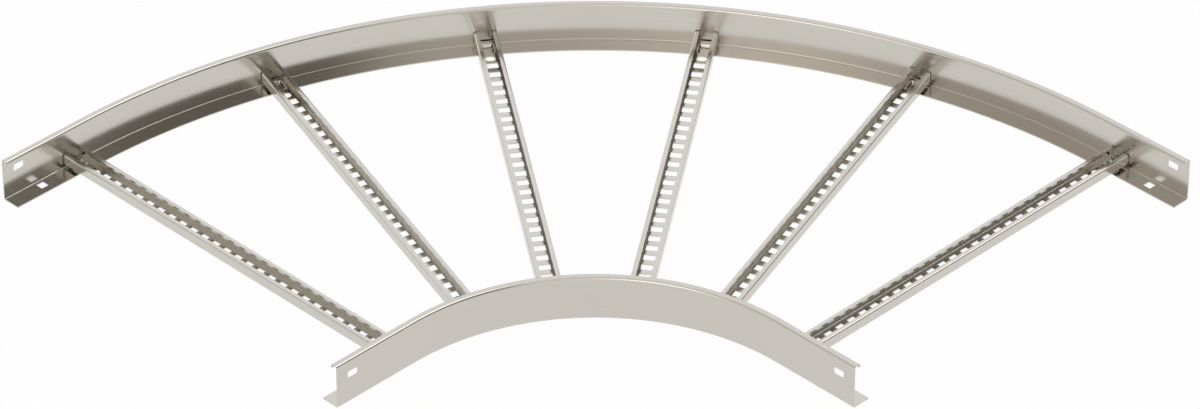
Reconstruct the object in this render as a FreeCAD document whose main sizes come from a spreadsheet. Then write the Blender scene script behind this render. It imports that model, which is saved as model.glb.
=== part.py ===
"""Cable ladder bend, 90 degrees, in stainless steel sheet.

Two folded side rails turn a quarter circle about one common centre, each with a short
straight at both ends for the joint to the next ladder. Six channel rungs, open upwards,
lie between them. A foot is pressed down into each rung's base at both ends, stands on the
rail's bottom flange and is spot-welded to it, so the whole bend is eight sheet pieces.

Frame: millimetres, +Z up, the flanges' underside at Z = 0 and the origin in the middle of
the plan's bounding square. The bend's centre lies at -X -Y, one end faces -X, the other -Y.
"""

import FreeCAD, Part
import Sketcher
import math
import os

SIZES = {
    # bend as a whole
    "inner_radius": 300.0,        # bend centre to the inner rail's web, on its outside
    "tray_width": 600.0,          # over the two webs' outsides
    "straight_length": 127.0,     # at each end of both rails
    # side rail section
    "rail_height": 60.0,
    "rail_sheet": 1.5,
    "rail_bend_radius": 2.5,      # inside of each fold
    "flange_width": 26.0,         # web's outside to the bottom flange's tip
    "rim_width": 10.0,            # web's outside to the lip's outside
    "rim_lip_height": 5.0,        # rim's top to the lip's lower edge
    # joint holes at the rail ends
    "web_hole_length": 16.0,
    "web_hole_height": 9.5,
    "web_hole_corner": 1.5,
    "web_hole_inset": 25.0,       # centre to the rail's end
    "web_hole_level": 39.0,       # centre above the flange's underside
    "flange_hole_side": 11.0,
    "flange_hole_corner": 1.0,
    "flange_hole_inset": 52.0,    # centre to the rail's end
    "flange_hole_offset": 11.5,   # centre to the web's outside
    # rung section and place
    "rung_width": 30.0,
    "rung_height": 15.0,
    "rung_sheet": 1.5,
    "rung_bend_radius": 1.0,      # inside of each fold
    "rung_lip_width": 6.0,        # wall's outside to the lip's tip
    "rung_end_gap": 2.0,          # rung's end to the web's inside
    "rung_count": 6,
    "end_rung_offset": 16.5,      # end rungs' middle line, past the bend's end
    # foot pressed down at each rung end, sizes at the base's top
    "foot_depth": 4.0,
    "foot_length": 20.0,          # along the rung
    "foot_width": 14.0,           # across the rung
    "foot_corner": 2.5,
    "foot_draft_angle": 20.0,
    "foot_wall": 1.2,             # the sheet is thinned where it is drawn
    "foot_end_inset": 7.0,        # mouth of the foot to the rung's end
    # slots punched in the rung's base
    "slot_pitch": 20.0,
    "slot_length": 11.0,          # along the rung
    "slot_width": 16.0,           # across the rung
    "oval_length": 13.0,          # across the rung
    "oval_width": 10.0,           # along the rung
    "oval_pitch": 16.0,           # middle of the last slot to the middle of the oval
    "oval_land": 3.0,             # least metal between an oval and the foot's mouth
}

# Sizes that follow from the ones above, as expressions of the sheet.
OUTER_RADIUS = "(sizes.inner_radius + sizes.tray_width)"
MIDDLE_RADIUS = "(sizes.inner_radius + sizes.tray_width / 2)"
BEND_CENTRE = f"(-({OUTER_RADIUS} - sizes.straight_length) / 2)"
RUNG_LENGTH = "(sizes.tray_width - 2 * sizes.rail_sheet - 2 * sizes.rung_end_gap)"
RUNG_LEVEL = "(sizes.rail_sheet + sizes.foot_depth)"
RUNG_STEP = "(90 / (sizes.rung_count - 1))"
DRAFT = "tan(sizes.foot_draft_angle * 1 deg)"
FOOT_MIDDLE = f"({RUNG_LENGTH} / 2 - sizes.foot_end_inset - sizes.foot_length / 2)"
FOOT_GROWTH = f"(2 * sizes.foot_wall - 2 * sizes.rung_sheet * {DRAFT})"
# As many slots as fit each side of the rung's middle before the oval and the foot.
SLOT_ROOM = (f"({RUNG_LENGTH} / 2 - sizes.foot_end_inset - sizes.foot_length"
             " - sizes.oval_land - sizes.oval_width / 2 - sizes.oval_pitch)")
SLOT_STEPS = f"floor({SLOT_ROOM} / sizes.slot_pitch)"
LAST_SLOT = f"({SLOT_STEPS} * sizes.slot_pitch)"

doc = FreeCAD.newDocument("cable_ladder_bend")
sheet = doc.addObject("Spreadsheet::Sheet", "sizes")
for row, (alias, size) in enumerate(SIZES.items(), start=1):
    sheet.set(f"A{row}", alias)
    sheet.set(f"B{row}", str(size))
    sheet.setAlias(f"B{row}", alias)
doc.recompute()


def value(expression):
    """What an expression of the sheet comes to."""
    return float(sheet.evalExpression(expression))


# Sketches. Point numbers are the sketcher's: 1 a line's or arc's start, 2 its end, 3 an
# arc's centre. Geometry -1 is the horizontal axis, with the origin as its point 1.
START, END, CENTRE = range(1, 4)
ORIGIN = (-1, START)
HORIZONTAL_AXIS = -1
VERTICAL_AXIS = -2


def new_sketch(body, name, role, level=None):
    """An empty sketch on one of the body's own origin planes, or above it."""
    sketch = body.newObject("Sketcher::SketchObject", name)
    plane = next(f for f in body.Origin.OriginFeatures if f.Role == role)
    sketch.AttachmentSupport = [(plane, "")]
    sketch.MapMode = "FlatFace"
    if level:
        sketch.setExpression("AttachmentOffset.Base.z", level)
    return sketch


def constrain(sketch, kind, *where):
    return sketch.addConstraint(Sketcher.Constraint(kind, *where))


def dimension(sketch, kind, where, expression):
    """A dimension tied to the sheet. A negative distance is given from the far point."""
    if value(expression) < 0:
        where = where[2:] + where[:2]
        expression = f"-({expression})"
    index = constrain(sketch, kind, *where, value(expression))
    sketch.setExpression(f"Constraints[{index}]", expression)


def add_line(sketch, first, last):
    return sketch.addGeometry(Part.LineSegment(first, last))


def add_arc(sketch, centre, radius, first_angle, last_angle):
    circle = Part.Circle(centre, FreeCAD.Vector(0, 0, 1), radius)
    return sketch.addGeometry(Part.ArcOfCircle(circle, first_angle, last_angle))


def draw_fold(sketch, corners, thickness, radius):
    """A folded sheet's section along level and upright runs that all turn the same way.

    The corners are the sharp corners of its outside, from tip to tip. Returns the
    numbers of the outside's lines, run by run.
    """
    sheet_size, inside = value(thickness), value(radius)
    outside = inside + sheet_size
    points = [FreeCAD.Vector(x, y, 0) for x, y in corners]
    ways = [(b - a).normalize() for a, b in zip(points, points[1:])]
    turn = ways[0].cross(ways[1]).z
    sides = [FreeCAD.Vector(-way.y, way.x, 0) * turn for way in ways]
    runs = range(len(ways))
    lines = []
    for shift in (0.0, sheet_size):
        skin = []
        for i in runs:
            first = points[i] + ways[i] * (outside if i > 0 else 0.0) + sides[i] * shift
            last = points[i + 1] - ways[i] * (outside if i < runs[-1] else 0.0)
            skin.append(add_line(sketch, first, last + sides[i] * shift))
            level = abs(ways[i].y) < 0.5
            constrain(sketch, "Horizontal" if level else "Vertical", skin[i])
        lines.append(skin)
    for i in runs[1:]:
        centre = points[i] + (sides[i - 1] - ways[i - 1]) * outside
        angles = [math.atan2(-side.y, -side.x) for side in (sides[i - 1], sides[i])]
        before, after = START, END
        if turn < 0:
            angles.reverse()
            before, after = END, START
        if angles[1] < angles[0]:
            angles[1] += 2 * math.pi
        arcs = []
        for skin, arc_radius in zip(lines, (outside, inside)):
            arc = add_arc(sketch, centre, arc_radius, *angles)
            constrain(sketch, "Tangent", skin[i - 1], END, arc, before)
            constrain(sketch, "Tangent", arc, after, skin[i], START)
            arcs.append(arc)
        constrain(sketch, "Coincident", arcs[0], CENTRE, arcs[1], CENTRE)
        dimension(sketch, "Radius", (arcs[1],), radius)
    for run, end in ((0, START), (runs[-1], END)):
        ends = [sketch.getPoint(skin[run], end) for skin in lines]
        cap = add_line(sketch, *ends)
        constrain(sketch, "Coincident", cap, START, lines[0][run], end)
        constrain(sketch, "Coincident", cap, END, lines[1][run], end)
        upright = abs(ways[run].y) < 0.5
        constrain(sketch, "Vertical" if upright else "Horizontal", cap)
        if run == 0:
            dimension(sketch, "Distance", (cap,), thickness)
    return lines[0]


def draw_hole(sketch, middle, size, corner=None):
    """A rectangle with its middle, its two sizes and its corner radius from the sheet."""
    x, y = (value(part) for part in middle)
    half_x, half_y = (value(part) / 2 for part in size)
    radius = value(corner) if corner else 0.0
    signs = ((-1, -1), (1, -1), (1, 1), (-1, 1))
    ways = ((1, 0), (0, 1), (-1, 0), (0, -1))
    corners = [FreeCAD.Vector(x + a * half_x, y + b * half_y, 0) for a, b in signs]
    lines = []
    for i, way in enumerate(ways):
        step = FreeCAD.Vector(*way, 0) * radius
        lines.append(add_line(sketch, corners[i] + step, corners[(i + 1) % 4] - step))
        constrain(sketch, "Vertical" if i % 2 else "Horizontal", lines[i])
    arcs = []
    for i, (a, b) in enumerate(signs):
        if not corner:
            constrain(sketch, "Coincident", lines[i - 1], END, lines[i], START)
            continue
        centre = corners[i] - FreeCAD.Vector(a, b, 0) * radius
        first = math.pi + i * math.pi / 2
        arcs.append(add_arc(sketch, centre, radius, first, first + math.pi / 2))
        constrain(sketch, "Tangent", lines[i - 1], END, arcs[i], START)
        constrain(sketch, "Tangent", arcs[i], END, lines[i], START)
        if i > 0:
            constrain(sketch, "Equal", arcs[0], arcs[i])
    if corner:
        dimension(sketch, "Radius", (arcs[0],), corner)
    bottom, right, top, left = lines
    dimension(sketch, "DistanceX", (left, START, right, START), size[0])
    dimension(sketch, "DistanceY", (bottom, START, top, START), size[1])
    dimension(sketch, "DistanceX", (*ORIGIN, right, START), f"{middle[0]} + {size[0]} / 2")
    dimension(sketch, "DistanceY", (*ORIGIN, top, START), f"{middle[1]} + {size[1]} / 2")


def draw_oval(sketch, middle, length, width):
    """A round-ended slot that runs along the sketch's Y and lies on its X axis."""
    x, half, radius = value(middle), value(f"({length} - {width}) / 2"), value(width) / 2
    arcs = []
    for side in (1, -1):
        first = 0.0 if side > 0 else math.pi
        centre = FreeCAD.Vector(x, side * half, 0)
        arcs.append(add_arc(sketch, centre, radius, first, first + math.pi))
    for side, (one, other) in ((-1, arcs), (1, arcs[::-1])):
        edge = x + side * radius
        line = add_line(sketch, FreeCAD.Vector(edge, -side * half, 0),
                        FreeCAD.Vector(edge, side * half, 0))
        constrain(sketch, "Tangent", one, END, line, START)
        constrain(sketch, "Tangent", line, END, other, START)
    constrain(sketch, "Symmetric", arcs[0], CENTRE, arcs[1], CENTRE, HORIZONTAL_AXIS)
    dimension(sketch, "Radius", (arcs[0],), f"{width} / 2")
    dimension(sketch, "DistanceY", (arcs[1], CENTRE, arcs[0], CENTRE), f"{length} - {width}")
    dimension(sketch, "DistanceX", (*ORIGIN, arcs[0], CENTRE), middle)


def cut(body, name, sketch, length=None, towards_normal=False):
    """A pocket as deep as given, or right through. It has to take something away."""
    doc.recompute()
    before = body.Shape.Volume
    pocket = body.newObject("PartDesign::Pocket", name)
    pocket.Profile = sketch
    pocket.Reversed = towards_normal
    if length:
        pocket.setExpression("Length", length)
    else:
        pocket.Type = "ThroughAll"
    doc.recompute()
    if body.Shape.Volume > before - 1.0:
        raise RuntimeError(f"{body.Label}: {name} cuts nothing")
    return pocket


def make_rail(name, radius, inwards):
    """A side rail about the bend's centre. Its flange and rim point inwards (-1) to the
    bend's centre, or away from it (1)."""
    body = doc.addObject("PartDesign::Body", name)
    web = value(radius)
    tip, lip = (web + inwards * value(f"sizes.{size}") for size in ("flange_width", "rim_width"))
    top = value("sizes.rail_height")
    edge = top - value("sizes.rim_lip_height")
    corners = [(tip, 0), (web, 0), (web, top), (lip, top), (lip, edge)]
    sections = []
    for end, role in (("start", "XZ_Plane"), ("finish", "YZ_Plane")):
        sketch = new_sketch(body, f"{name}_{end}_section", role)
        flange, upright, rim, down = draw_fold(sketch, corners, "sizes.rail_sheet",
                                               "sizes.rail_bend_radius")
        constrain(sketch, "PointOnObject", flange, START, HORIZONTAL_AXIS)
        dimension(sketch, "DistanceX", (*ORIGIN, upright, START), radius)
        dimension(sketch, "DistanceX", (upright, START, flange, START),
                  f"{inwards} * sizes.flange_width")
        dimension(sketch, "DistanceX", (upright, START, down, START),
                  f"{inwards} * sizes.rim_width")
        dimension(sketch, "DistanceY", (flange, START, rim, START), "sizes.rail_height")
        dimension(sketch, "DistanceY", (down, END, rim, START), "sizes.rim_lip_height")
        sections.append(sketch)
    start, finish = sections

    bend = body.newObject("PartDesign::Revolution", f"{name}_bend")
    bend.Profile = start
    bend.ReferenceAxis = (start, ["V_Axis"])
    bend.Angle = 90
    for sketch, towards, reverse in ((start, "start", False), (finish, "finish", True)):
        straight = body.newObject("PartDesign::Pad", f"{name}_{towards}_straight")
        straight.Profile = sketch
        straight.Reversed = reverse
        straight.setExpression("Length", "sizes.straight_length")

    inset = "-(sizes.straight_length - sizes.{}_inset)"
    web_hole = ((inset.format("web_hole"), "sizes.web_hole_level"),
                ("sizes.web_hole_length", "sizes.web_hole_height"), "sizes.web_hole_corner")
    for end, role in (("start", "YZ_Plane"), ("finish", "XZ_Plane")):
        sketch = new_sketch(body, f"{name}_{end}_web_outline", role)
        draw_hole(sketch, *web_hole)
        cut(body, f"{name}_{end}_web_hole", sketch, towards_normal=end == "start")
    along = inset.format("flange_hole")
    across = f"{radius} + {inwards} * sizes.flange_hole_offset"
    for end, middle in (("start", (across, along)), ("finish", (along, across))):
        sketch = new_sketch(body, f"{name}_{end}_flange_outline", "XY_Plane")
        draw_hole(sketch, middle, ["sizes.flange_hole_side"] * 2, "sizes.flange_hole_corner")
        cut(body, f"{name}_{end}_flange_hole", sketch, "sizes.rail_sheet", towards_normal=True)
    for axis in "xy":
        body.setExpression(f"Placement.Base.{axis}", BEND_CENTRE)
    return body


def make_rung(name, x, y, angle):
    """A rung along its own X, with its middle at x, y from the bend's centre."""
    body = doc.addObject("PartDesign::Body", name)
    half = value("sizes.rung_width") / 2
    top = value("sizes.rung_height")
    tip = half - value("sizes.rung_lip_width")
    section = new_sketch(body, f"{name}_section", "YZ_Plane")
    corners = [(-tip, top), (-half, top), (-half, 0), (half, 0), (half, top), (tip, top)]
    left_lip, left, base, right, right_lip = draw_fold(section, corners, "sizes.rung_sheet",
                                                       "sizes.rung_bend_radius")
    constrain(section, "PointOnObject", base, START, HORIZONTAL_AXIS)
    constrain(section, "Symmetric", left, START, right, END, VERTICAL_AXIS)
    dimension(section, "DistanceX", (left, START, right, START), "sizes.rung_width")
    dimension(section, "DistanceY", (base, START, left_lip, START), "sizes.rung_height")
    dimension(section, "DistanceX", (left, START, left_lip, START), "sizes.rung_lip_width")
    dimension(section, "DistanceX", (right_lip, END, right, START), "sizes.rung_lip_width")
    channel = body.newObject("PartDesign::Pad", f"{name}_channel")
    channel.Profile = section
    channel.Midplane = True
    channel.setExpression("Length", RUNG_LENGTH)

    for end, side in (("near", -1), ("far", 1)):
        middle = (f"{side} * {FOOT_MIDDLE}", "0")
        sketch = new_sketch(body, f"{name}_{end}_foot_outline", "XY_Plane")
        draw_hole(sketch, middle, [f"(sizes.foot_{size} + {FOOT_GROWTH})"
                                   for size in ("length", "width")],
                  f"sizes.foot_corner + {FOOT_GROWTH} / 2")
        foot = body.newObject("PartDesign::Pad", f"{name}_{end}_foot")
        foot.Profile = sketch
        foot.Reversed = True
        foot.setExpression("Length", "sizes.foot_depth")
        foot.setExpression("TaperAngle", "-sizes.foot_draft_angle")
        sketch = new_sketch(body, f"{name}_{end}_foot_mouth", "XY_Plane", "sizes.rung_sheet")
        draw_hole(sketch, middle, ("sizes.foot_length", "sizes.foot_width"),
                  "sizes.foot_corner")
        hollow = cut(body, f"{name}_{end}_foot_hollow", sketch, "sizes.foot_depth")
        hollow.setExpression("TaperAngle", "-sizes.foot_draft_angle")

    sketch = new_sketch(body, f"{name}_oval_outlines", "XY_Plane")
    for side in (-1, 1):
        draw_oval(sketch, f"{side} * ({LAST_SLOT} + sizes.oval_pitch)",
                  "sizes.oval_length", "sizes.oval_width")
    cut(body, f"{name}_ovals", sketch, "sizes.rung_sheet", towards_normal=True)
    sketch = new_sketch(body, f"{name}_slot_outline", "XY_Plane")
    draw_hole(sketch, (f"-{LAST_SLOT}", "0"), ("sizes.slot_length", "sizes.slot_width"))
    slot = cut(body, f"{name}_first_slot", sketch, "sizes.rung_sheet", towards_normal=True)
    slots = body.newObject("PartDesign::LinearPattern", f"{name}_slots")
    slots.Originals = [slot]
    slots.Direction = (sketch, ["H_Axis"])
    slots.setExpression("Length", f"2 * {LAST_SLOT}")
    slots.setExpression("Occurrences", f"2 * {SLOT_STEPS} + 1")
    body.Tip = slots

    body.setExpression("Placement.Base.x", f"{BEND_CENTRE} + {x}")
    body.setExpression("Placement.Base.y", f"{BEND_CENTRE} + {y}")
    body.setExpression("Placement.Base.z", RUNG_LEVEL)
    body.setExpression("Placement.Rotation.Angle", angle)
    return body


pieces = [
    make_rail("outer_side_rail", OUTER_RADIUS, -1),
    make_rail("inner_side_rail", "sizes.inner_radius", 1),
]
rung_count = int(value("sizes.rung_count"))
for number in range(rung_count):
    name = f"rung_{number + 1}"
    turn = f"{RUNG_STEP} * {number} * 1 deg"
    x, y = f"{MIDDLE_RADIUS} * cos({turn})", f"{MIDDLE_RADIUS} * sin({turn})"
    if number == 0:
        y = "-sizes.end_rung_offset"
    elif number == rung_count - 1:
        x = "-sizes.end_rung_offset"
    pieces.append(make_rung(name, x, y, turn))
doc.recompute()

for item in doc.Objects:
    if "Invalid" in item.State or "Error" in item.State:
        raise RuntimeError(f"{item.Label} has failed: {item.State}")
for piece in pieces:
    shape = piece.Shape
    if shape.isNull() or not shape.isValid() or len(shape.Solids) != 1:
        raise RuntimeError(f"{piece.Label} is not one valid solid")

os.makedirs("parts", exist_ok=True)
for piece in pieces:
    piece.Shape.exportStep(f"parts/{piece.Label}.step")
    box = piece.Shape.BoundBox
    print(f"{piece.Label}: {piece.Shape.Volume:.0f} mm3, X {box.XMin:.2f} to {box.XMax:.2f},"
          f" Y {box.YMin:.2f} to {box.YMax:.2f}, Z {box.ZMin:.2f} to {box.ZMax:.2f}")
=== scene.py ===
# %% [markdown]
# # A bend of stainless cable ladder
#
# The object is a quarter-circle bend of cable ladder, made of eight pieces of folded
# stainless sheet: an outer and an inner side rail, and six slotted channel rungs between
# them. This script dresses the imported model. Each rail and rung is built again as one thin
# sheet with true folds, punched holes and pressed feet, then it gets the finish of rolled
# stainless steel, a pale studio and the camera.
#
# All shapes are worked out in millimetres and become metres when a mesh is made.

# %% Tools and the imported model
import math

import bpy
import numpy as np
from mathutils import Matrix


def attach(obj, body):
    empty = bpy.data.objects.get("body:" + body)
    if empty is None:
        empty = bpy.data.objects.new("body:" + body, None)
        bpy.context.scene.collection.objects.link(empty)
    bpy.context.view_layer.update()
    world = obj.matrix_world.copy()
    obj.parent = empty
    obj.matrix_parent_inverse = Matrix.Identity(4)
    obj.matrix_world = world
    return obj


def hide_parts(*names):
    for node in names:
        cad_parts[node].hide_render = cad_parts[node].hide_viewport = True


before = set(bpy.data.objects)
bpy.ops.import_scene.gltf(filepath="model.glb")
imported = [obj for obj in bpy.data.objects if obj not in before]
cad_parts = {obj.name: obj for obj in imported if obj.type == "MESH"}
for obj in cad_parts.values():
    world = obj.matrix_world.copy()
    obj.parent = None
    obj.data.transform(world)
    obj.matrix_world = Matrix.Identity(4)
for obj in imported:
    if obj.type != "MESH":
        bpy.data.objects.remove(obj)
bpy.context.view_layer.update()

# %% [markdown]
# ## Sizes of the real sheet parts
#
# A side rail is a folded section that keeps its form all the way round, so a few widths and
# radii describe it. The straight at each end is where the next ladder is bolted on.

# %% Sizes in millimetres
SHEET = 1.5
INNER_RADIUS, OUTER_RADIUS = 300.0, 900.0
STRAIGHT = 127.0
RAIL_HEIGHT, FLANGE, RIM, LIP = 60.0, 26.0, 10.0, 5.0
WEB_FOLD, RIM_FOLD = 0.8, 1.5         # inside radii: web to flange, and the rim's two
RUNG_WIDTH, RUNG_HEIGHT, RUNG_LIP = 30.0, 15.0, 6.0
RUNG_FOLD = 1.0                       # inside radius of a rung's four folds
RUNG_END_GAP = 2.0                    # from a rung's end to the web beside it
RUNG_LENGTH = OUTER_RADIUS - INNER_RADIUS - 2 * SHEET - 2 * RUNG_END_GAP
RUNG_LEVEL = 5.5                      # underside of the rung's base
RUNG_COUNT, RUNG_STEP = 6, 18.0       # degrees from rung to rung
END_RUNG_OFFSET = 16.5                # an end rung stands this far out on its straight
MIDDLE_RADIUS = (INNER_RADIUS + OUTER_RADIUS) / 2
BEND_CENTRE = -(OUTER_RADIUS - STRAIGHT) / 2
print("rung length:", RUNG_LENGTH, "mm, bend centre:", BEND_CENTRE, "mm")

# %% [markdown]
# ## Folded lines
#
# Everything here is bent from flat sheet, so every section is a line of straights and arcs.
# One function can follow all of them: the section of a rail, the section of a rung, the
# outline of a punched hole and the wall of a pressed foot. It takes the distance along the
# line and gives the place and the heading there, so the sheet keeps its flat length.

# %% Follow a line of straights and arcs
def follow(distance, start, heading, pieces):
    """Place and heading on a line of straights and arcs, at each distance along it.

    A piece is (length, turn in radians). On a straight the place moves along the heading.
    On an arc the heading grows evenly, and the place is the sum of unit steps along it,
    which is the sine and cosine of the heading over the curvature.
    """
    distance = np.asarray(distance, float)
    x, y = (np.full(distance.shape, value, float) for value in start)
    angle = np.full(distance.shape, heading, float)
    run = 0.0
    for length, turn in pieces:
        along = np.clip(distance - run, 0.0, length)
        if abs(turn) > 0.0:
            bend = turn / length
            x += (np.sin(angle + along * bend) - np.sin(angle)) / bend
            y -= (np.cos(angle + along * bend) - np.cos(angle)) / bend
            angle = angle + along * bend
        else:
            x += along * np.cos(angle)
            y += along * np.sin(angle)
        run += length
    return np.stack([x, y], -1), angle


def fold_pieces(flats, radii):
    """Straights of the given lengths with a quarter turn to the left between them."""
    pieces = [(flats[0], 0.0)]
    for flat, radius in zip(flats[1:], radii):
        pieces += [(radius * math.pi / 2, math.pi / 2), (flat, 0.0)]
    return pieces


def breaks(pieces):
    """Distances at which one piece of the line ends and the next begins."""
    return np.concatenate([[0.0], np.cumsum([length for length, turn in pieces])])


def lines_between(stops, counts):
    """Grid lines: each gap between two stops is cut into so many equal parts."""
    parts = [np.linspace(a, b, n, endpoint=False)
             for a, b, n in zip(stops[:-1], stops[1:], counts)]
    return np.concatenate(parts + [stops[-1:]])


web_outside, rim_outside = WEB_FOLD + SHEET, RIM_FOLD + SHEET
rail_radii = np.array([WEB_FOLD, RIM_FOLD, RIM_FOLD]) + SHEET / 2
rail_pieces = fold_pieces([FLANGE - web_outside, RAIL_HEIGHT - web_outside - rim_outside,
                           RIM - 2 * rim_outside, LIP - rim_outside], rail_radii)
print("flat width of a rail's sheet:", round(breaks(rail_pieces)[-1], 1), "mm")

# %% [markdown]
# ## A punched sheet
#
# The sheet before folding is a flat panel with holes. A grid of lines covers it, and the
# squares where a hole lies are left out. Where the hole has round corners, rings of squares
# lead from the edge of the gap in the grid to the hole's outline. A pressed foot is made the
# same way, with rings that go down a wall and close at the bottom.

# %% Panels with windows
SAME = 1e-6                           # places closer than this are the same grid line


def window_border(u_lines, v_lines, spans):
    """The window's edge on the grid, anticlockwise from its lower left corner: first and
    last lines, grid indices, and for each point its side and its share of that side."""
    (u0, u1), (v0, v1) = spans
    i0, i1 = np.searchsorted(u_lines, [u0 - SAME, u1 - SAME])
    j0, j1 = np.searchsorted(v_lines, [v0 - SAME, v1 - SAME])
    wide, high = i1 - i0, j1 - j0
    i = np.concatenate([np.arange(i0, i1), np.full(high, i1), np.arange(i1, i0, -1),
                        np.full(high, i0)])
    j = np.concatenate([np.full(wide, j0), np.arange(j0, j1), np.full(wide, j1),
                        np.arange(j1, j0, -1)])
    side = np.repeat([0, 1, 2, 3], [wide, high, wide, high])
    share = np.concatenate([np.arange(n) / n for n in (wide, high, wide, high)])
    return (i0, i1, j0, j1), i, j, side, share


def rounded_rectangle(side, share, half_size, corner):
    """Points and outward directions on a rectangle with round corners. Each side goes
    from corner middle to corner middle: an eighth of a circle, a straight, an eighth."""
    points, outward = np.zeros((2, side.size, 2))
    eighth = (corner * math.pi / 4, math.pi / 4)
    reach = corner * (1 - math.sqrt(0.5))
    for number in range(4):
        along, out = half_size if number % 2 == 0 else half_size[::-1]
        pieces = [eighth, (2 * (along - corner), 0.0), eighth]
        mine = side == number
        local, heading = follow(share[mine] * breaks(pieces)[-1],
                                (reach - along, reach - out), -math.pi / 4, pieces)
        turn = number * math.pi / 2
        rotation = np.array([[math.cos(turn), math.sin(turn)],
                             [-math.sin(turn), math.cos(turn)]])
        points[mine] = local @ rotation
        outward[mine] = np.stack([np.sin(heading), -np.cos(heading)], -1) @ rotation
    return points, outward


def patch(border, wide, high):
    """Points between four curved sides: the mean of the straight links from left to right
    and from bottom to top, less the one between the corners (a Coons patch)."""
    s = np.linspace(0, 1, wide + 1)[1:-1, None, None]
    t = np.linspace(0, 1, high + 1)[None, 1:-1, None]
    ring = np.concatenate([border, border[:1]])
    bottom, right = ring[:wide + 1], ring[wide:wide + high + 1]
    top, left = ring[wide + high:2 * wide + high + 1][::-1], ring[2 * wide + high:][::-1]
    across = (1 - s) * left[None, 1:-1] + s * right[None, 1:-1]
    upwards = (1 - t) * bottom[1:-1, None] + t * top[1:-1, None]
    corners = ((1 - s) * ((1 - t) * bottom[0] + t * top[0])
               + s * ((1 - t) * bottom[-1] + t * top[-1]))
    return across + upwards - corners


def squares_of(index):
    """The squares of a grid of point numbers, anticlockwise."""
    return np.stack([index[:-1, :-1], index[1:, :-1], index[1:, 1:], index[:-1, 1:]], -1)


def panel(u_lines, v_lines, windows):
    """A flat sheet: rows of u, v, sink and the sheet's own normal, and its faces.

    A window is (spans on the grid, rings, closed). A ring is (middle, half sizes, corner,
    sink, slope), and a window with no rings leaves the square gap as it is.
    """
    u, v = np.meshgrid(u_lines, v_lines, indexing="ij")
    flat = np.zeros((u.size, 6))
    flat[:, 0], flat[:, 1], flat[:, 5] = u.ravel(), v.ravel(), 1.0
    index = np.arange(u.size).reshape(u.shape)
    keep = np.ones((u.shape[0] - 1, u.shape[1] - 1), bool)
    rows, faces, count = [flat], [], u.size
    for spans, rings, closed in windows:
        (i0, i1, j0, j1), i, j, side, share = window_border(u_lines, v_lines, spans)
        keep[i0:i1, j0:j1] = False
        loop = index[i, j]
        for middle, half_size, corner, sink, slope in rings:
            ring = np.zeros((loop.size, 6))
            outline, outward = rounded_rectangle(side, share, half_size, corner)
            ring[:, :2] = outline + middle
            ring[:, 2] = sink
            ring[:, 3:5] = -outward * math.sin(slope)
            ring[:, 5] = math.cos(slope)
            rows.append(ring)
            inner = count + np.arange(loop.size)
            count += loop.size
            faces.append(np.stack([loop, np.roll(loop, -1), np.roll(inner, -1), inner], -1))
            loop = inner
        if closed:
            wide, high = i1 - i0, j1 - j0
            inside = patch(rows[-1], wide, high)
            grid = np.zeros((wide + 1, high + 1), int)
            again = np.append(loop, loop[0])
            grid[:, 0], grid[-1, :] = again[:wide + 1], again[wide:wide + high + 1]
            grid[::-1, -1] = again[wide + high:2 * wide + high + 1]
            grid[0, ::-1] = again[2 * wide + high:]
            grid[1:-1, 1:-1] = count + np.arange(inside[..., 0].size).reshape(inside.shape[:2])
            rows.append(inside.reshape(-1, 6))
            count += inside[..., 0].size
            faces.append(squares_of(grid).reshape(-1, 4))
    faces.insert(0, squares_of(index)[keep])
    return np.concatenate(rows), np.concatenate(faces)


# %% [markdown]
# ## Thickness and cut edges
#
# A real sheet shows its cut edge at every hole and rim, and a thin bright line where the
# edge is slightly rounded. The sheet's middle surface is known, with its normals, so both
# faces are half a thickness away from it. The borders of the panel are the edges that
# belong to one face only, and each of them gets a wall. A small bevel then rounds the cut
# edges, and weighted normals keep the flats flat.

# %% From a middle surface to a mesh of sheet metal
CUT_ROUND = 0.2                       # bevel along every cut edge
CUT_ANGLE = math.radians(50)          # an edge sharper than this was cut, not folded
FLAT_WEIGHT = 80                      # how much large flats count in the shading


def with_thickness(points, normals, faces, thickness):
    """Both faces of the sheet, half a thickness out along the normals, and the walls
    along the edges that belong to one face only."""
    count = len(points)
    half = normals * thickness / 2
    solid = np.concatenate([points + half, points - half])
    edges = np.stack([faces, np.roll(faces, -1, axis=1)], -1).reshape(-1, 2)
    key = np.sort(edges, axis=1) @ np.array([count, 1])
    _, first, uses = np.unique(key, return_index=True, return_counts=True)
    a, b = edges[first[uses == 1]].T
    walls = np.stack([a, a + count, b + count, b], -1)
    return solid, np.concatenate([faces, faces[:, ::-1] + count, walls])


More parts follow.
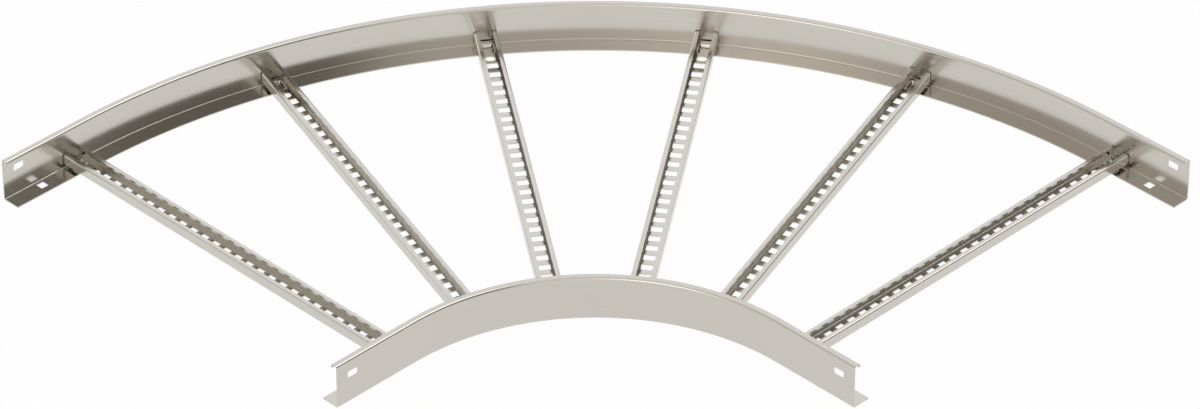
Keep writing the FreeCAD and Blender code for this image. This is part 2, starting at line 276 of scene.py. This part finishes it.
def sheet_piece(name, points, normals, faces, flat_uv):
    """A sheet of metal as an object, in metres, with its flat pattern as its UV map."""
    solid, quads = with_thickness(points, normals, faces, SHEET)
    mesh = bpy.data.meshes.new(f"{name}_sheet")
    mesh.vertices.add(len(solid))
    mesh.vertices.foreach_set("co", (solid / 1000).ravel())
    mesh.loops.add(quads.size)
    mesh.loops.foreach_set("vertex_index", quads.ravel().astype(np.int32))
    mesh.polygons.add(len(quads))
    mesh.polygons.foreach_set("loop_start", np.arange(0, quads.size, 4, dtype=np.int32))
    mesh.update(calc_edges=True)
    layer = mesh.uv_layers.new(name="flat_pattern")
    uv = np.concatenate([flat_uv, flat_uv])[quads.ravel()] / 1000
    layer.data.foreach_set("uv", uv.ravel())
    mesh.polygons.foreach_set("use_smooth", np.ones(len(quads), bool))
    piece = bpy.data.objects.new(f"{name}_sheet", mesh)
    bpy.context.collection.objects.link(piece)
    edge = piece.modifiers.new("cut_edges", "BEVEL")
    edge.width = CUT_ROUND / 1000
    edge.segments = 2
    edge.limit_method = "ANGLE"
    edge.angle_limit = CUT_ANGLE
    shade = piece.modifiers.new("flat_faces", "WEIGHTED_NORMAL")
    shade.weight = FLAT_WEIGHT
    print(f"{name}: {len(solid)} points, {len(quads)} faces")
    return piece


# %% [markdown]
# ## Side rails
#
# A side rail is a bottom flange, an upright web and a narrow rim whose edge is turned down.
# Its section is one folded line, carried along a straight, a quarter circle and a straight.
# At each end a rectangular slot is punched in the web for the joint plate, and a square hole
# in the flange. The inner rail is the same section turned the other way.

# %% Section lines and end holes of a rail
# Each hole has a window in the grid: its reach from the rail's end, and its levels up the
# web or its insets from the web's outside.
WEB_SLOT = {"from_end": 25.0, "level": 39.0, "half_size": (8.0, 4.75), "corner": 1.5,
            "reach": (12.0, 38.0), "levels": (31.0, 47.0)}
FLANGE_HOLE = {"from_end": 52.0, "inset": 11.5, "half_size": (5.5, 5.5), "corner": 1.0,
               "reach": (42.0, 62.0), "insets": (18.5, 5.0)}
WEB_LOW = 4.0                         # level of a grid line just above the web's fold
COLLAR = 1.0                          # width of the ring of squares round a hole
flange_flat = FLANGE - web_outside
web_start = flange_flat + rail_radii[0] * math.pi / 2      # flat width at the web's foot


def web_width(level):
    """Distance across the flat sheet to a level of the web."""
    return web_start + level - web_outside


def flange_width(inset):
    """Distance across the flat sheet to an inset from the web's outside."""
    return FLANGE - inset


slot_widths = web_width(np.array(WEB_SLOT["levels"]))
hole_widths = flange_width(np.array(FLANGE_HOLE["insets"]))
rail_stops = np.concatenate([[0.0], hole_widths, [flange_flat, web_width(WEB_LOW)],
                             slot_widths, breaks(rail_pieces)[3:]])
rail_width_lines = lines_between(rail_stops, [2, 10, 1, 6, 3, 10, 2, 6, 1, 6, 1])
print("lines across a rail:", rail_width_lines.size)


def hole_rings(middle, hole):
    """Two rings to a punched hole: one outside it, and its own outline."""
    half, corner = np.array(hole["half_size"]), hole["corner"]
    return [(middle, half + COLLAR, corner + COLLAR, 0.0, 0.0),
            (middle, half, corner, 0.0, 0.0)]


# %% Make both rails
END_COUNTS = [3, 12, 1, 10, 6]        # squares along an end, from stop to stop
BEND_SQUARE, FEWEST_SQUARES = 10.0, 72    # round the bend: length of one, and their number


def make_rail(name, radius, way):
    """The folded section carried along the rail. way is 1 if the flange points to the
    bend's centre and -1 if it points away from it."""
    arc = radius * math.pi / 2
    length = arc + 2 * STRAIGHT
    near_end = np.array([*WEB_SLOT["reach"], *FLANGE_HOLE["reach"], STRAIGHT])
    stops = np.concatenate([[0.0], near_end, length - near_end[::-1], [length]])
    bend_count = max(FEWEST_SQUARES, round(arc / BEND_SQUARE))
    u_lines = lines_between(stops, END_COUNTS + [bend_count] + END_COUNTS[::-1])
    windows = []
    for end, away in ((0.0, 1.0), (length, -1.0)):
        for hole, v_span, across in (
                (WEB_SLOT, slot_widths, web_width(WEB_SLOT["level"])),
                (FLANGE_HOLE, hole_widths, flange_width(FLANGE_HOLE["inset"]))):
            u_span = sorted(end + away * np.array(hole["reach"]))
            middle = np.array([end + away * hole["from_end"], across])
            windows.append(((u_span, v_span), hole_rings(middle, hole), False))
    rows, faces = panel(u_lines, rail_width_lines, windows)
    u, v = rows[:, 0], rows[:, 1]
    section, heading = follow(v, (-FLANGE, SHEET / 2), 0.0, rail_pieces)
    turn = np.clip((u - STRAIGHT) / radius, 0.0, math.pi / 2)
    beyond = np.minimum(u - STRAIGHT, 0.0) + np.maximum(u - STRAIGHT - arc, 0.0)
    outward = np.stack([np.sin(turn), np.cos(turn), 0 * turn], -1)
    along = np.stack([np.cos(turn), -np.sin(turn), 0 * turn], -1)
    up = np.array([0.0, 0.0, 1.0])
    place = (radius + way * section[:, :1]) * outward + beyond[:, None] * along
    place += section[:, 1:] * up + np.array([BEND_CENTRE, BEND_CENTRE, 0.0])
    normals = -way * np.sin(heading)[:, None] * outward + np.cos(heading)[:, None] * up
    if way < 0:
        faces = faces[:, ::-1]
    piece = sheet_piece(name, place, normals, faces, rows[:, :2])
    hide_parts(name)
    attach(piece, "root")
    return piece


outer_rail = make_rail("outer_side_rail", OUTER_RADIUS, 1)
inner_rail = make_rail("inner_side_rail", INNER_RADIUS, -1)

# %% [markdown]
# ## Rungs
#
# A rung is a small channel that is open upwards. Its base is punched with a row of slots for
# cable ties and one oval near each end. A foot is pressed down at both ends, so that the
# rung stands on the flanges with its side walls clear of them. The wall of the foot is a
# line too: level sheet, a round shoulder, a steep wall, a round corner and a level floor.

# %% Lines along and across a rung
SLOT_PITCH, LAST_SLOT = 20.0, 240.0   # from slot to slot, and from the middle to the last
SLOT_HALF = (5.5, 8.0)
OVAL_PLACE, OVAL_HALF = 256.0, (5.0, 6.5)
OVAL_STRAIGHT = 0.01                  # half of what is left straight on the oval's short side
FOOT_HALF, FOOT_CORNER = np.array([10.85, 8.0]), 2.7
FOOT_DEPTH, FOOT_DRAFT = RUNG_LEVEL - SHEET, math.radians(30.0)
FOOT_INSET = 17.0                     # from the rung's end to the middle of the foot
FOOT_PLACE = RUNG_LENGTH / 2 - FOOT_INSET
FOOT_FOLD = 0.3                       # inside radius at the foot's shoulder and floor
FOOT_BEND = FOOT_FOLD + SHEET / 2
END_WINDOW = 10.5                     # half width of the oval's and the foot's windows
END_STOPS = np.array([248.0, 264.5, 293.0, RUNG_LENGTH / 2])    # where they begin and end

rung_outside = RUNG_FOLD + SHEET
rung_pieces = fold_pieces([RUNG_LIP - rung_outside, RUNG_HEIGHT - 2 * rung_outside,
                           RUNG_WIDTH - 2 * rung_outside, RUNG_HEIGHT - 2 * rung_outside,
                           RUNG_LIP - rung_outside], [RUNG_FOLD + SHEET / 2] * 4)
rung_breaks = breaks(rung_pieces)
middle_width = rung_breaks[-1] / 2
window_stops = np.array([-END_WINDOW, -SLOT_HALF[1], SLOT_HALF[1], END_WINDOW])
across_stops = np.concatenate([rung_breaks[:5], middle_width + window_stops, rung_breaks[5:]])
across_lines = lines_between(across_stops, [1, 5, 2, 5, 1, 1, 8, 1, 1, 5, 2, 5, 1])

slots = np.arange(-LAST_SLOT, LAST_SLOT + 1, SLOT_PITCH)
slot_lines = np.sort(np.concatenate([slots - SLOT_HALF[0], slots + SLOT_HALF[0]]))
end_lines = lines_between(END_STOPS, [10, 12, 1])
along_lines = np.concatenate([-end_lines[::-1], slot_lines, end_lines])
print("lines along a rung:", along_lines.size, "across:", across_lines.size)

# %% The foot's wall as rings
steep = math.pi / 2 - FOOT_DRAFT
tangent = FOOT_BEND * math.tan(steep / 2)
mouth = (SHEET / 2) * math.tan(FOOT_DRAFT) - (SHEET / 2) / math.cos(FOOT_DRAFT)
foot_wall = FOOT_DEPTH / math.cos(FOOT_DRAFT) - 2 * tangent
foot_line = [(FOOT_BEND * steep, -steep), (foot_wall, 0.0), (FOOT_BEND * steep, steep)]
foot_stops = lines_between(breaks(foot_line), [5, 2, 5])
foot_section, foot_heading = follow(foot_stops, (mouth - tangent, 0.0), 0.0, foot_line)
print("rings down a foot's wall:", len(foot_section))


def foot_rings(middle):
    """Rings of the pressed foot: each is the mouth's outline moved in and down."""
    return [(middle, FOOT_HALF - inset, FOOT_CORNER - inset, -height, -heading)
            for (inset, height), heading in zip(foot_section, foot_heading)]


# %% Make the six rungs
def rung_windows():
    """A plain gap for each slot, and at both ends an oval and a foot with a closed floor."""
    middle_at = np.array([0.0, middle_width])
    windows = [((place + np.array([-1, 1]) * SLOT_HALF[0],
                 middle_width + np.array([-1, 1]) * SLOT_HALF[1]), [], False)
               for place in slots]
    across = middle_width + np.array([-END_WINDOW, END_WINDOW])
    oval = {"half_size": OVAL_HALF, "corner": OVAL_HALF[0] - OVAL_STRAIGHT}
    for side in (-1, 1):
        oval_span = np.sort(side * END_STOPS[:2])
        foot_span = np.sort(side * END_STOPS[1:3])
        windows.append(((oval_span, across),
                        hole_rings(middle_at + [side * OVAL_PLACE, 0.0], oval)[1:], False))
        windows.append(((foot_span, across), foot_rings(middle_at + [side * FOOT_PLACE, 0.0]),
                        True))
    return windows


def make_rung(number):
    """Fold the punched panel along the section, sink the feet, then turn and place it."""
    rows, faces = panel(along_lines, across_lines, rung_windows())
    start = (RUNG_LIP - RUNG_WIDTH / 2, RUNG_HEIGHT - SHEET / 2)
    section, heading = follow(rows[:, 1], start, math.pi, rung_pieces)
    zero, one = np.zeros(len(rows)), np.ones(len(rows))
    across = np.stack([zero, np.cos(heading), np.sin(heading)], -1)
    out = np.stack([zero, -np.sin(heading), np.cos(heading)], -1)
    lengthwise = np.stack([one, zero, zero], -1)
    place = np.column_stack([rows[:, 0], section]) - rows[:, 2:3] * out
    normals = rows[:, 3:4] * lengthwise + rows[:, 4:5] * across + rows[:, 5:6] * out
    normals /= np.linalg.norm(normals, axis=1, keepdims=True)
    angle = math.radians((number - 1) * RUNG_STEP)
    x, y = MIDDLE_RADIUS * math.cos(angle), MIDDLE_RADIUS * math.sin(angle)
    if number == 1:
        y = -END_RUNG_OFFSET
    if number == RUNG_COUNT:
        x = -END_RUNG_OFFSET
    turn = np.array([[math.cos(angle), math.sin(angle), 0.0],
                     [-math.sin(angle), math.cos(angle), 0.0], [0.0, 0.0, 1.0]])
    place = place @ turn + np.array([BEND_CENTRE + x, BEND_CENTRE + y, RUNG_LEVEL])
    name = f"rung_{number}"
    piece = sheet_piece(name, place, normals @ turn, faces, rows[:, :2])
    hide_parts(name)
    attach(piece, "root")
    return piece


rungs = [make_rung(number) for number in range(1, RUNG_COUNT + 1)]

# %% [markdown]
# ## Rolled stainless steel
#
# The sheet is chromium-nickel stainless steel with the mill's smooth cold-rolled finish. It
# is a warm grey metal that mirrors its surroundings softly. Rolling leaves very fine lines
# along the sheet, which only show as small changes in gloss. They follow the flat pattern,
# so the UV map carries them round every fold.

# %% Colour and node helpers
def linear(hex_code):
    """An sRGB hex colour as the linear values that a shader takes."""
    srgb = np.array([int(hex_code[i:i + 2], 16) / 255 for i in (1, 3, 5)])
    value = np.where(srgb <= 0.04045, srgb / 12.92, ((srgb + 0.055) / 1.055) ** 2.4)
    return (*value.tolist(), 1.0)


def add_node(tree, kind, settings=(), **inputs):
    """A node with its settings and its input values or links, by name."""
    node = tree.nodes.new(kind)
    for key, value in dict(settings).items():
        setattr(node, key, value)
    for key, value in inputs.items():
        socket = node.inputs[int(key[1:]) if key[1:].isdigit() else key.replace("_", " ")]
        if isinstance(value, bpy.types.NodeSocket):
            tree.links.new(value, socket)
        else:
            socket.default_value = value
    return node


# %% The finish
def rolled_stainless(name, tint, gloss_marks):
    """Cold-rolled stainless sheet: a soft mirror with faint lines along the rolling way."""
    material = bpy.data.materials.new(name)
    material.use_nodes = True
    tree = material.node_tree
    tree.nodes.clear()
    flat = add_node(tree, "ShaderNodeUVMap", {"uv_map": "flat_pattern"})
    # Real rolling lines are about 0.1 mm apart. They are drawn 2 mm apart here, so that
    # they show at all, and about 150 mm long.
    lines = add_node(tree, "ShaderNodeMapping", Vector=flat.outputs["UV"],
                     Scale=(7.0, 500.0, 1.0))
    grain = add_node(tree, "ShaderNodeTexNoise", {"noise_dimensions": "2D"},
                     Vector=lines.outputs["Vector"], Scale=1.0, Detail=3.0, Roughness=0.6)
    # Handling leaves wider, softer patches of a slightly duller gloss.
    cloud = add_node(tree, "ShaderNodeTexNoise", {"noise_dimensions": "2D"},
                     Vector=flat.outputs["UV"], Scale=9.0, Detail=2.0, Roughness=0.5)
    mixed = add_node(tree, "ShaderNodeMix", {"data_type": "FLOAT"}, _0=0.35,
                     _2=grain.outputs["Fac"], _3=cloud.outputs["Fac"])
    gloss = add_node(tree, "ShaderNodeMapRange", Value=mixed.outputs[0], From_Min=0.3,
                     From_Max=0.7, To_Min=gloss_marks[0], To_Max=gloss_marks[1])
    shade = add_node(tree, "ShaderNodeMix", {"data_type": "RGBA"}, _0=grain.outputs["Fac"],
                     _6=linear(tint[0]), _7=linear(tint[1]))
    relief = add_node(tree, "ShaderNodeBump", Strength=0.03, Distance=0.0002,
                      Height=grain.outputs["Fac"])
    metal = add_node(tree, "ShaderNodeBsdfPrincipled", Base_Color=shade.outputs[2],
                     Metallic=1.0, Roughness=gloss.outputs["Result"],
                     Normal=relief.outputs["Normal"])
    add_node(tree, "ShaderNodeOutputMaterial", Surface=metal.outputs["BSDF"])
    return material


rail_steel = rolled_stainless("rolled_stainless_rail", ("#cdc9c1", "#d3cfc8"), (0.17, 0.23))
rung_steel = rolled_stainless("rolled_stainless_rung", ("#d0ccc5", "#d6d3cc"), (0.14, 0.20))
for piece in [outer_rail, inner_rail]:
    piece.data.materials.append(rail_steel)
for piece in rungs:
    piece.data.materials.append(rung_steel)
print("finishes:", rail_steel.name, "and", rung_steel.name)

# %% [markdown]
# ## Studio
#
# The bend lies on a white floor in a pale room with soft light from all round. Rolled sheet
# shows the room rather than its own colour, so what stands in the room shapes the picture:
# a pale backdrop ahead, a low window on the left and dark walls on the right, which darken
# the left part of the outer rail. One even light would leave the whole rail the same grey.
# The metal mirrors this room, and the camera itself sees plain white behind the object.

# %% Floor
FLOOR_SIZE, FLOOR_DROP = 12.0, 0.0004     # in metres, just clear of the flanges
PAPER = 0.8                               # share of light that the matt paper sends back
PAPER_MIRRORED, PAPER_SHOWN = 0.92, 0.97  # its white in the metal, and its share in view
bpy.ops.mesh.primitive_plane_add(size=FLOOR_SIZE, location=(0.0, 0.0, -FLOOR_DROP))
floor = bpy.context.active_object
floor.name = "studio_floor"
paper = bpy.data.materials.new("matt_white_paper")
paper.use_nodes = True
tree = paper.node_tree
tree.nodes.clear()
path = add_node(tree, "ShaderNodeLightPath")
matt = add_node(tree, "ShaderNodeBsdfDiffuse", Color=(PAPER, PAPER, PAPER, 1.0))
seen = add_node(tree, "ShaderNodeEmission", Color=(1.0, 1.0, 1.0, 1.0), Strength=1.0)
mirrored = add_node(tree, "ShaderNodeEmission", Color=(1.0, 1.0, 1.0, 1.0),
                    Strength=PAPER_MIRRORED)
first = add_node(tree, "ShaderNodeMixShader", _0=path.outputs["Is Glossy Ray"],
                 _1=matt.outputs["BSDF"], _2=mirrored.outputs["Emission"])
seen_share = add_node(tree, "ShaderNodeMath", {"operation": "MULTIPLY"},
                      _0=path.outputs["Is Camera Ray"], _1=PAPER_SHOWN)
second = add_node(tree, "ShaderNodeMixShader", _0=seen_share.outputs["Value"],
                  _1=first.outputs["Shader"], _2=seen.outputs["Emission"])
add_node(tree, "ShaderNodeOutputMaterial", Surface=second.outputs["Shader"])
floor.data.materials.append(paper)
print("floor:", FLOOR_SIZE, "m square")

# %% Room light by direction
def toward(turn, climb):
    """A direction: degrees to the right from straight behind the camera, and upwards."""
    turn, climb = math.radians(turn - 135.0), math.radians(climb)
    level = math.cos(climb)
    return (level * math.cos(turn), level * math.sin(turn), math.sin(climb))


world = bpy.data.worlds.new("photo_studio")
bpy.context.scene.world = world
world.use_nodes = True
tree = world.node_tree
tree.nodes.clear()
ray = add_node(tree, "ShaderNodeTexCoord").outputs["Generated"]
height = add_node(tree, "ShaderNodeSeparateXYZ", Vector=ray)
ramp = add_node(tree, "ShaderNodeValToRGB", _0=height.outputs["Z"])
ramp.color_ramp.interpolation = "EASE"
# Height of a direction, from 0 at the horizon to 1 straight up, and the room's grey there.
ROOM = ((0.0, 0.95), (0.3, 0.9), (0.57, 0.8), (1.0, 0.8))
WARM = (1.03, 1.0, 0.97)
stops = ramp.color_ramp.elements
stops.remove(stops[1])
for number, (level, grey) in enumerate(ROOM):
    stop = stops[0] if number == 0 else stops.new(level)
    stop.position = level
    stop.color = (*(grey * share for share in WARM), 1.0)
light = ramp.outputs["Color"]
# Each patch: its middle, its full and its faded reach in degrees, and its light.
PATCHES = {
    "paper backdrop ahead": (toward(180.0, 35.0), 25.0, 60.0, (0.99, 1.0, 1.01)),
    "dark wall on the right": (toward(60.0, 27.0), 14.0, 31.0, (0.18, 0.17, 0.16)),
    "foot of the dark wall": (toward(62.0, 2.0), 16.0, 38.0, (0.26, 0.25, 0.24)),
    "dark wall further round": (toward(104.0, 27.0), 11.0, 27.0, (0.20, 0.19, 0.18)),
    "grey wall on the left": (toward(-78.0, 34.0), 14.0, 34.0, (0.66, 0.63, 0.60)),
    "soft lamp high on the right": (toward(110.0, 57.0), 11.0, 21.0, (2.2, 2.2, 2.16)),
    "bright wall round the window": (toward(-24.0, 6.0), 10.0, 40.0, (1.42, 1.38, 1.32)),
    "window low on the left": (toward(-26.0, 1.0), 8.0, 24.0, (2.5, 2.45, 2.35)),
}
for label, (middle, full, faded, tone) in PATCHES.items():
    facing = add_node(tree, "ShaderNodeVectorMath",
                      {"operation": "DOT_PRODUCT", "label": label}, _0=ray, _1=middle)
    mask = add_node(tree, "ShaderNodeMapRange", {"interpolation_type": "SMOOTHERSTEP"},
                    Value=facing.outputs["Value"], From_Min=math.cos(math.radians(faded)),
                    From_Max=math.cos(math.radians(full)))
    light = add_node(tree, "ShaderNodeMix", {"data_type": "RGBA"}, _0=mask.outputs["Result"],
                     _6=light, _7=(*tone, 1.0)).outputs[2]
path = add_node(tree, "ShaderNodeLightPath")
room = add_node(tree, "ShaderNodeBackground", Color=light, Strength=1.0)
white = add_node(tree, "ShaderNodeBackground", Color=(1.0, 1.0, 1.0, 1.0), Strength=1.0)
shown = add_node(tree, "ShaderNodeMixShader", _0=path.outputs["Is Camera Ray"],
                 _1=room.outputs["Background"], _2=white.outputs["Background"])
add_node(tree, "ShaderNodeOutputWorld", Surface=shown.outputs["Shader"])
print("patches of light in the room:", len(PATCHES))

# %% [markdown]
# ## Camera
#
# The camera looks down along the diagonal of a cube, from the bend's inner side, with a
# long lens, so that upright lines stay nearly parallel. It stands in the bend's plane of
# symmetry but for 5 mm.

# %% Camera and colour handling
camera_data = bpy.data.cameras.new("camera")
camera_data.sensor_width = 36.0
camera_data.lens = 187.785
camera = bpy.data.objects.new("camera", camera_data)
camera.location = (-4.4339, -4.4410, 4.4298)
camera.rotation_euler = (math.pi / 2 - math.atan(math.sqrt(0.5)), 0.0, -math.pi / 4)
bpy.context.collection.objects.link(camera)
scene = bpy.context.scene
scene.camera = camera
scene.view_settings.view_transform = "Standard"
print("camera:", camera_data.lens, "mm lens,", round(camera.location.length, 2), "m away")
